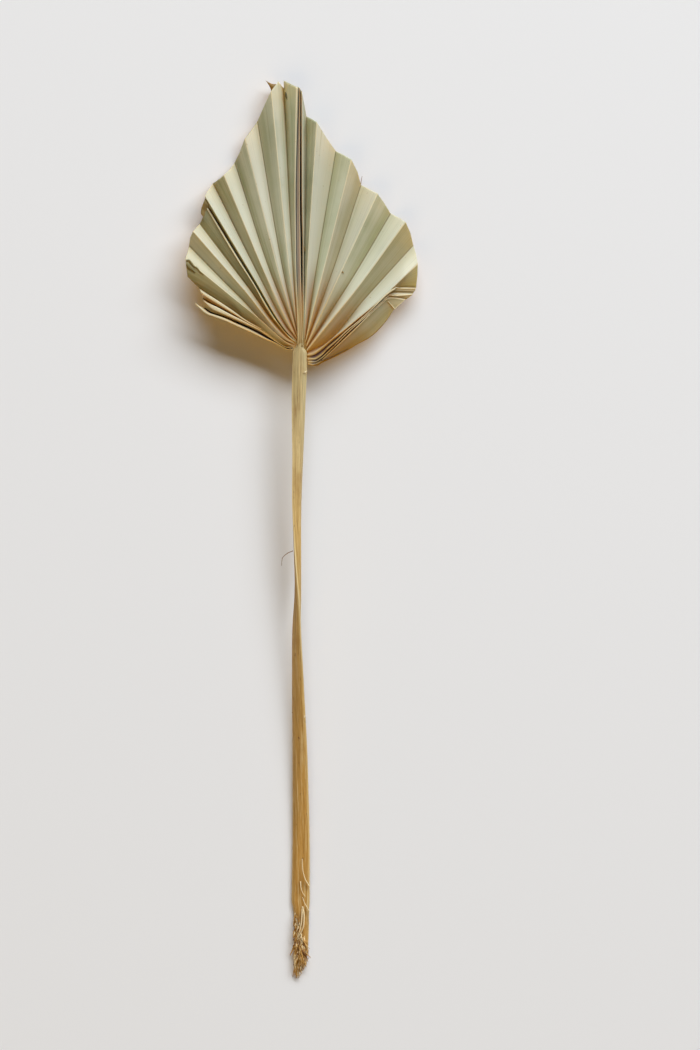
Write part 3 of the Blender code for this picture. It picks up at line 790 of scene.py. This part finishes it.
def curled_corner():
    """A triangle from base to tip as a grid: each row a straight line between two edges, arched upwards."""
    v = np.linspace(0.0, 1.0, 12)[None, :, None]
    u = np.linspace(0.0, 1.0, 8)[:, None, None]
    base_left, base_right = np.array([-15.3, 218.9]), np.array([-12.2, 223.2])
    tip = np.array([-18.3, 224.85])
    left = base_left + (tip - base_left) * v + np.array([0.55, 0.0]) * np.sin(np.pi * v)
    right = base_right + (tip - base_right) * v - np.array([0.0, 0.75]) * np.sin(np.pi * v)
    plan = left * (1 - u) + right * u
    height = 5.2 + 1.6 * v[..., 0] ** 2 + 0.9 * np.sin(np.pi * u[..., 0]) * (1 - v[..., 0])
    top = np.dstack([plan, height + 0 * plan[..., 0]])
    return top, top - np.array([0.0, 0.0, 0.3])


DRIED = {"ridge_mm": 3.0, "along_mm": 130.0, "faded": 0.3, "dense": 0.5}
leaf_scraps("curled_corner", [curled_corner()], 3.0, back=1.0, **DRIED)

# %% [markdown]
# A second corner like it shows behind the split: there the next layer of the blade sticks out a little,
# browned, with its own nibbled edge.

# %% Brown patch behind the split
PATCH_OUT = ((-48.2, 165.6), (-49.2, 163.2), (-50.3, 160.2), (-50.5, 158.3), (-49.6, 156.4), (-50.1, 154.6))
PATCH_IN = ((-46.2, 163.4), (-46.4, 161.4), (-46.8, 159.4), (-47.0, 157.4), (-47.2, 155.6), (-47.6, 153.8))


def patch():
    """A sheet between two plan routes, just under the blade that it peeps out from."""
    outer, inner = eased(PATCH_OUT, 24), eased(PATCH_IN, 24)
    u = np.linspace(0.0, 1.0, 6)[:, None, None]
    plan = outer[None] * (1 - u) + inner[None] * u
    height = np.repeat((on_leaf(inner, 1.5) - 0.9)[None], 6, axis=0)
    top = np.dstack([plan, height])
    return top, top - np.array([0.0, 0.0, 0.3])


leaf_scraps("brown_patch", [patch()], 3.0, back=0.75, **DRIED)

# %% [markdown]
# ## The stalk's finish
#
# The stalk is a bundle of long fibres under a dry skin: straw above, where it meets the leaf, and more
# golden brown towards the foot. Its pattern is noise drawn out along the stalk, read from how far along and
# round the stalk a point lies, so that the grain turns with the twist.

# %% Stalk material


def stalk_material(name, tint=(0.0, 0.0, 0.0), tinted=0.0):
    made, tree, shader = start_material(name)
    labels = ("along_mm", "around", "frayed", "margin")
    along, around, frayed, margin = (number_of(tree, label) for label in labels)
    lying = Wire.node(tree, "ShaderNodeCombineXYZ", None, {"X": around, "Y": along})
    streaks = noise(tree, stretched(tree, lying, (32.0, 0.04, 1.0)), 1.0, 4.0, 0.75)
    bands = noise(tree, stretched(tree, lying, (9.0, 0.02, 1.0)), 1.0, 2.0)
    place = Wire.node(tree, "ShaderNodeTexCoord", None, None, "Object")
    patches = noise(tree, place, 60.0, 3.0, 0.6)
    specks = noise(tree, stretched(tree, place, (1.0, 0.35, 1.0)), 700.0, 1.0)

    base = blend(tree, along.between(85.0, -20.0), colour(194, 176, 128), colour(200, 160, 90))
    twisting = along.between(0.0, -12.0) * along.between(-75.0, -55.0)
    layers = (
        (along.between(-20.0, -190.0), (196, 146, 70)),  # golden towards the foot
        (bands.between(0.4, 0.62) * 0.3, (154, 118, 60)),
        (streaks.between(0.5, 0.66) * 0.7, (224, 200, 144)),
        (streaks.between(0.48, 0.32) * 0.65, (122, 84, 34)),
        (patches.between(0.52, 0.75) * 0.35, (150, 108, 50)),
        (specks.between(0.7, 0.78) * 0.5, (104, 66, 28)),
        # pale margins, and a painted highlight along the sharp edge where it twists
        (margin * (0.4 + twisting * 0.5), (234, 212, 156)),  # pale margins, most where it twists
        (frayed * patches.between(0.4, 0.6) * 0.7, (116, 74, 28)),
    )
    base = coats(tree, base, layers)
    if tinted:
        base = blend(tree, tinted, base, tint)
    feed(tree, shader, "Base Color", base)
    feed(tree, shader, "Roughness", 0.52 + (streaks - 0.5) * 0.3)
    bump = {"Strength": 0.6, "Distance": 0.0003, "Height": streaks + bands * 0.6}
    feed(tree, shader, "Normal", Wire.node(tree, "ShaderNodeBump", None, bump))
    shader.inputs["Specular IOR Level"].default_value = 0.35
    print(name, "has", len(tree.nodes), "nodes")
    return made


STRAW = stalk_material("dried_stalk")
PALE_FIBRE = stalk_material("pale_fibre", colour(238, 220, 176), 0.75)
BROWN_FIBRE = stalk_material("brown_fibre", colour(118, 70, 26), 0.85)

# %% [markdown]
# ## The stalk
#
# Cut across, the stalk is a flat lens with two sharp margins and a low ridge down one face. It makes one
# half turn between the leaf and its foot, which is why it looks widest at both ends and narrow in the
# middle. A profile carried along a path says all of that: at each place along Y there is a centre, a width,
# a thickness and a turn.

# %% Stalk stations
# along Y, X, height, width, thickness, turn in degrees; all else in millimetres
STATIONS = np.array((
    (107.5, -0.4, 12.6, 0.9, 0.6, 0.0), (102.5, -0.35, 13.2, 2.0, 1.2, 0.0),
    (98.5, -0.3, 13.9, 2.4, 1.7, 0.0), (95.5, -0.4, 14.2, 2.6, 1.9, 0.0),
    (92.6, -0.6, 14.5, 3.4, 2.3, 0.0), (90.9, -1.1, 14.4, 4.0, 2.4, 0.0),
    (88.4, -1.0, 14.1, 6.8, 2.6, 0.0), (79.5, -1.1, 13.6, 7.2, 3.0, 4.0),
    (64.5, -1.6, 13.0, 7.3, 3.2, 19.0), (39.0, -2.0, 11.9, 7.3, 3.3, 40.0),
    (12.5, -2.5, 10.7, 7.5, 3.3, 53.0), (-7.5, -2.3, 9.7, 7.7, 3.3, 68.0),
    (-32.5, -2.3, 8.5, 8.0, 3.3, 99.0), (-48.5, -2.6, 7.7, 8.2, 3.3, 121.0),
    (-75.0, -2.1, 6.4, 8.4, 3.2, 135.0), (-115.0, -1.0, 4.4, 8.8, 3.1, 150.0),
    (-160.0, -0.5, 2.5, 9.0, 3.0, 165.0), (-185.0, -0.7, 1.7, 9.1, 2.9, 176.0),
    (-191.0, -0.4, 1.5, 7.8, 2.8, 180.0), (-202.0, -0.3, 1.4, 7.2, 2.6, 180.0),
    (-212.0, -0.4, 1.4, 6.4, 2.2, 180.0), (-216.0, -0.8, 1.4, 4.8, 1.8, 180.0),
    (-219.0, -1.3, 1.5, 2.6, 1.2, 180.0),
))[::-1]
RINGS, SIDES = 430, 72


def stalk_arrays():
    """Rings along Y: a lens section, 1 - |x|^p above and below, with grain as waves round it, turned."""
    y = np.linspace(STATIONS[0, 0], STATIONS[-1, 0], RINGS)
    given = (smooth_through(STATIONS[:, 0], values, y)[:, None] for values in STATIONS[:, 1:].T)
    x, z, width, thickness, turn = given
    angle = np.linspace(0.0, 2 * np.pi, SIDES, endpoint=False)[None, :]
    across = np.cos(angle)
    ridged = np.sin(angle) >= 0
    up = np.where(ridged, 0.6 * (1 - np.abs(across) ** 1.35), -0.4 * (1 - np.abs(across) ** 3.0))
    coarse, fine = waves(angle * 9.0, 5, 1.6, 9), waves(angle * 9.0 + y[:, None] * 0.05, 6, 0.9, 7)
    grain = coarse + 0.5 * fine
    up = up * thickness + 0.07 * grain * np.sign(up) * np.abs(np.sin(angle))
    frayed = fade(-187.0, -197.0, y)[:, None]
    torn = waves(angle * 7.0 + 0.9 * waves(y, 8, 5.0)[:, None], 7, 1.1, 9) * waves(y, 9, 2.2)[:, None]
    uneven = 1 + 0.012 * waves(y, 12, 7.0)[:, None]
    across = across * width / 2 * uneven + 0.35 * frayed * torn * np.sign(across)
    up = up + 0.45 * frayed * torn
    turn = np.radians(turn)
    points = np.stack(
        [
            x + across * np.cos(turn) + up * np.sin(turn),
            y[:, None] + 0 * across,
            np.maximum(z - across * np.sin(turn) + up * np.cos(turn), FLOOR_GAP),
        ],
        axis=-1,
    )
    numbers = {"along_mm": y[:, None], "around": angle / (2 * np.pi), "frayed": frayed}
    numbers["margin"] = fade(0.82, 0.94, np.abs(np.cos(angle)))
    return points, numbers


def tube_faces(rings, sides, start=0):
    """Quads between rings whose points lie one ring after the other, and one many-sided face at each end."""
    index = np.arange(rings * sides).reshape(rings, sides) + start
    after = np.roll(index, -1, axis=1)
    quads = np.stack([index[:-1], after[:-1], after[1:], index[1:]], axis=-1).reshape(-1, 4)
    return quads.tolist() + [index[0, ::-1].tolist(), index[-1].tolist()]


points, numbers = stalk_arrays()
numbers = flat_numbers(numbers, (RINGS, SIDES))
faces = [face[::-1] for face in tube_faces(RINGS, SIDES)]
stalk = piece_of("stalk_body", points.reshape(-1, 3), faces, STRAW, numbers)
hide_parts("stalk")

# %% [markdown]
# ## Strands and hairs
#
# The foot was torn off, not cut, so its fibres stand out as a ragged tuft, and a few pale ones have
# peeled away from the face above it. A strand is a thin tube along a short path. Hundreds of them are made
# in one go: their paths are one array, and every ring of every tube is worked out at once.

# %% Strand helper


def strands(name, paths, radii, material, sides=6):
    """Tubes round paths (strand, step, xyz): each ring is a circle across the path's own direction."""
    tangent = np.gradient(paths, axis=1)
    tangent /= np.linalg.norm(tangent, axis=2, keepdims=True) + 1e-9
    side = np.cross(tangent, np.array([0.05, 0.02, 1.0]))
    side /= np.linalg.norm(side, axis=2, keepdims=True) + 1e-9
    upward = np.cross(side, tangent)
    angle = np.linspace(0.0, 2 * np.pi, sides, endpoint=False)[None, None, :, None]
    rings = paths[:, :, None] + radii[:, :, None, None] * (
        side[:, :, None] * np.cos(angle) + upward[:, :, None] * np.sin(angle)
    )
    rings[..., 2] = np.maximum(rings[..., 2], FLOOR_GAP)
    count, steps = paths.shape[:2]
    faces = []
    for i in range(count):
        faces += tube_faces(steps, sides, start=i * steps * sides)
    own_grain = np.linspace(0.0, 7.0, count)[:, None, None]
    numbers = {"along_mm": rings[..., 1], "around": own_grain, "frayed": 0.0, "margin": 0.0}
    numbers = flat_numbers(numbers, rings.shape[:3])
    return piece_of(name, rings.reshape(-1, 3), faces, material, numbers)


# %% The tuft at the foot
FOOT_END = -224.9  # where the longest strands end, along Y


def foot_paths(count, steps=10):
    """Strands side by side across the foot, each drawn out downwards with its own drift, bend and lift."""
    draw = np.random.default_rng(21)
    across = draw.uniform(0.0, 1.0, count)
    x, y, z = -3.7 + 6.4 * across, draw.uniform(-213.0, -203.0, count), draw.uniform(0.7, 2.6, count)
    end_y = FOOT_END + 10.0 * np.maximum(0.0, across - 0.3) ** 0.9 + draw.uniform(0.0, 5.0, count)
    end_y = np.minimum(end_y, y - 3.0)
    drift = draw.uniform(-1.0, 0.9, count) + 0.35 * (0.4 - across)
    lift = draw.uniform(-1.0, 1.2, count)
    share = np.linspace(0.0, 1.0, steps)
    curl = draw.uniform(-0.5, 0.5, count)[:, None] * np.sin(share * draw.uniform(2, 7, count)[:, None])
    x = x[:, None] + drift[:, None] * share**1.6 + curl
    y = y[:, None] + (end_y - y)[:, None] * share
    z = np.clip(z[:, None] + lift[:, None] * share**1.5, 0.35, 4.0)
    return np.stack([x, y, z], axis=-1), draw.uniform(0.14, 0.34, count)[:, None] * (1 - 0.6 * share)


paths, radii = foot_paths(150)
strands("foot_tuft", paths[:95], radii[:95], STRAW)
strands("foot_tuft_pale", paths[95:], radii[95:] * 0.85, PALE_FIBRE)

# %% [markdown]
# Above the tuft the left side of the foot is torn open. Short curly fibres lie on it every way, dark ones
# deep down and pale ones on top.

# %% Torn side


def torn_paths(count, seed, steps=8):
    """Short curls over the torn side: a start on the foot's upper face and a curved run from there."""
    draw = np.random.default_rng(seed)
    y = -191.0 - 23.0 * draw.uniform(0.0, 1.0, count) ** 0.8
    low = np.interp(y, (-214, -203, -190), (-3.2, -3.4, -3.7))
    high = np.interp(y, (-214, -207, -198, -190), (2.6, 1.9, -0.8, -2.8))
    x = low + (high - low) * draw.uniform(0.0, 1.0, count) ** 1.2
    z = 2.7 - 0.05 * (x + 0.3) ** 2 + draw.uniform(-0.2, 0.3, count)
    heading = np.radians(draw.normal(-98.0, 17.0, count))
    length = draw.uniform(2.6, 7.0, count)
    turn = draw.uniform(-0.7, 0.7, count)
    share = np.linspace(0.0, 1.0, steps)[None, :]
    way = heading[:, None] + turn[:, None] * share
    step = (length / steps)[:, None]
    x = np.clip(x[:, None] + np.cumsum(np.cos(way) * step, axis=1), -4.5, 4.0)
    y = np.maximum(y[:, None] + np.cumsum(np.sin(way) * step, axis=1), FOOT_END + 0.4)
    z = z[:, None] + draw.uniform(0.1, 0.9, count)[:, None] * np.sin(np.pi * share)
    return np.stack([x, y, z], axis=-1), draw.uniform(0.12, 0.28, count)[:, None] * (1 - 0.5 * share)


strands("torn_curls", *torn_paths(90, 31), STRAW)
strands("torn_curls_pale", *torn_paths(42, 32), PALE_FIBRE)
strands("torn_curls_brown", *torn_paths(54, 33), BROWN_FIBRE)

# %% [markdown]
# A few single fibres are placed one by one, because they are what the eye finds first: three long pale
# hairs that leave the stalk's face above the foot, the thick strand that crosses the tear, the stub at its
# left, and two brown hairs: one curls away from the middle of the stalk, one stands at the fan's right rim.

# %% Single hairs
HAIRS = (
    ((3.7, -178.5, 4.3), (1.3, -174.0, 4.8), (0.3, -169.4, 4.7), (0.1, -164.6, 4.1)),
    ((-0.8, -175.9, 3.7), (-0.6, -178.6, 4.2), (0.2, -181.3, 4.3), (1.6, -183.6, 3.9)),
    ((3.5, -191.0, 3.6), (2.3, -188.6, 3.9), (1.0, -186.2, 3.9), (0.2, -183.8, 3.4)),
)
STRAND_ROUTES = (
    ((0.2, -188.6, 2.7), (1.0, -193.5, 3.4), (0.7, -198.2, 3.6), (-1.5, -203.2, 3.4), (-3.1, -206.4, 2.6)),
    ((0.1, -190.0, 2.7), (-0.2, -194.5, 3.3), (-0.9, -199.6, 3.4), (-3.2, -205.6, 2.5)),
)
STUB = ((-2.8, -205.5, 2.2), (-4.1, -208.6, 2.4), (-5.0, -210.9, 2.3), (-6.0, -213.1, 1.9))
CURL = ((-4.4, -10.4, 9.6), (-7.0, -11.5, 9.2), (-9.9, -14.5, 8.6), (-10.2, -17.8, 8.0))
RIM_HAIR = ((29.3, 172.4, 0.8), (29.5, 174.4, 1.2), (29.8, 176.0, 1.5), (30.1, 177.4, 1.3))


def together(routes, steps, thickness):
    """Several routes as one array of smooth paths, thinning towards their ends."""
    paths = np.array([eased(route, steps) for route in routes])
    radii = thickness / 2 * (1 - 0.55 * np.linspace(0, 1, steps))
    return paths, np.tile(radii, (len(routes), 1))


strands("loose_hairs", *together(HAIRS, 24, 0.62), PALE_FIBRE)
strands("thick_strands", *together(STRAND_ROUTES, 24, 0.9), PALE_FIBRE)
strands("stub_strand", *together((STUB,), 24, 1.1), STRAW)
strands("brown_hair", *together((CURL, RIM_HAIR), 24, 0.42), BROWN_FIBRE)

# %% [markdown]
# The stalk also has a few marks of use: a pale chip below the leaf, two nicks in its margins and a brown
# spot. Each is a grain a millimetre long, half sunk in the stalk's skin.

# %% Chips and nicks
PALE_CHIPS = (
    ((1.2, 78.2, 14.9), (1.9, 78.7, 14.7), (2.7, 79.3, 14.3)),
    ((1.4, -92.8, 8.0), (1.3, -93.3, 8.2), (1.0, -93.9, 8.2)),
)
DARK_NICKS = (
    ((-4.9, -91.3, 3.2), (-4.6, -91.8, 3.4), (-4.5, -92.4, 3.4)),
    ((-1.8, -103.6, 6.4), (-1.5, -104.0, 6.5), (-1.2, -104.5, 6.5)),
)
strands("pale_chips", *together(PALE_CHIPS, 8, 0.8), PALE_FIBRE)
strands("dark_nicks", *together(DARK_NICKS, 8, 0.6), BROWN_FIBRE)

# %% [markdown]
# ## Table, light and camera
#
# The spear lies on a plain pale surface. One wide soft light stands beyond its tip and to the right, low
# enough to leave every second panel of the left half in shade. A faint warm light from the other side does
# what a room's own light does: it turns the shaded panels olive and the shadow under the leaf brown. The
# camera hangs straight above with a long lens, which keeps the leaf's outline true.

# %% Table
HALF_TABLE = 3.0
corners = [(x * HALF_TABLE, y * HALF_TABLE, 0.0) for x, y in ((-1, -1), (1, -1), (1, 1), (-1, 1))]
floor_mesh = bpy.data.meshes.new("table")
floor_mesh.from_pydata(corners, [], [(0, 1, 2, 3)])
table = bpy.data.objects.new("table", floor_mesh)
bpy.context.scene.collection.objects.link(table)
surface, tree, shader = start_material("pale_table")
shader.inputs["Base Color"].default_value = (*colour(233, 233, 233), 1.0)
shader.inputs["Roughness"].default_value = 0.7
floor_mesh.materials.append(surface)
print("table is", 2 * HALF_TABLE, "m wide")

# %% Light
AIM = np.array([0.0, 0.08, 0.0])


def soft_light(name, direction, height, distance, size, energy, tint):
    """A rectangular lamp aimed at the leaf, placed by two angles in degrees and a distance in metres."""
    lamp = bpy.data.lights.new(name, "AREA")
    lamp.shape = "RECTANGLE"
    lamp.size, lamp.size_y = size
    lamp.energy, lamp.color = energy, tint
    a, e = math.radians(direction), math.radians(height)
    towards = np.array([math.cos(a) * math.cos(e), math.sin(a) * math.cos(e), math.sin(e)])
    holder = bpy.data.objects.new(name, lamp)
    bpy.context.scene.collection.objects.link(holder)
    holder.location = AIM + towards * distance
    holder.rotation_euler = Vector((-towards).tolist()).to_track_quat("-Z", "Y").to_euler()
    print(name, "stands", distance, "m away,", height, "degrees up")


soft_light("window", 65.0, 37.0, 6.5, (9.6, 3.2), 780.0, (0.935, 0.978, 1.035))
soft_light("warm_fill", 245.0, 32.0, 6.0, (6.0, 4.0), 115.0, (1.0, 0.66, 0.26))
world = bpy.data.worlds.new("pale_sky")
world.use_nodes = True
sky = world.node_tree.nodes["Background"]
sky.inputs["Color"].default_value = (0.97, 1.0, 0.98, 1.0)
sky.inputs["Strength"].default_value = 0.05
bpy.context.scene.world = world
bpy.context.scene.view_settings.view_transform = "Standard"

# %% Camera
LENS, SENSOR = 120.0, 36.0
VIEW_CENTRE = (0.024, 0.0025)
VIEW_HEIGHT = 0.525  # metres that the picture's long side covers at the leaf's level
LEAF_LEVEL = 0.006
lens = bpy.data.cameras.new("camera")
lens.lens, lens.sensor_width = LENS, SENSOR
camera = bpy.data.objects.new("camera", lens)
bpy.context.scene.collection.objects.link(camera)
camera.location = (*VIEW_CENTRE, VIEW_HEIGHT * LENS / SENSOR + LEAF_LEVEL)
bpy.context.scene.camera = camera
print("the camera hangs", round(camera.location.z, 3), "m up")
